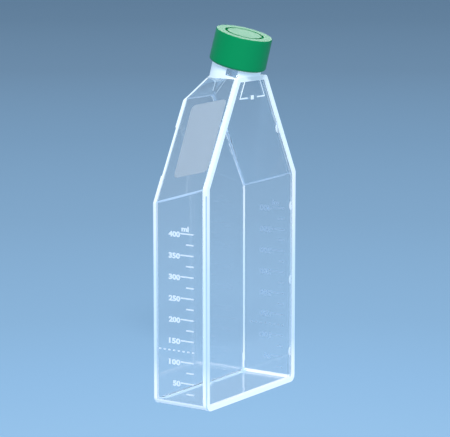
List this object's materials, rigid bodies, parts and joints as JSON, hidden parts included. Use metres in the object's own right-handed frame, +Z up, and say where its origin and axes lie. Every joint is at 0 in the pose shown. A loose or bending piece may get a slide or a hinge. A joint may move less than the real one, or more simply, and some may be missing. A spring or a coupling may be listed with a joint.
{
  "type": "cell culture flask",
  "caption": "Clear tapered flask with a flat growth face, a welded cover plate, a neck canted towards the plate and a vented green screw cap.",
  "frame": {"origin": "middle of the outside of the end wall that the flask stands on", "axes": "+Z up towards the neck, +Y from the cover plate to the growth face, +X across the flask"},
  "size_m": [0.104, 0.0529, 0.2408],
  "materials": {
    "clear_polystyrene": "moulded, clear, polished",
    "green_polyethylene": "moulded, satin gloss",
    "filter_membrane": "fine porous sheet, matt"
  },
  "bodies": {
    "root": {"flask_body": "clear_polystyrene", "cover_plate": "clear_polystyrene"},
    "vent_filter": {"vent_membrane": "filter_membrane"},
    "cap": {"screw_cap": "green_polyethylene"}
  },
  "joints": [
    {"name": "cap_lift", "type": "slide", "parent": "root", "child": "vent_filter", "axis": [0, -0.2605, 0.9655], "range_m": [0, 0.02]},
    {"name": "cap_turn", "type": "hinge", "parent": "vent_filter", "child": "cap", "pos_m": [0, -0.01365, 0.23328], "axis": [0, -0.2605, 0.9655], "range_deg": [0, 900]}
  ],
  "couplings": [
    {"joint": "cap_lift", "follows": "cap_turn", "m_per_rad": 0.0012732}
  ]
}
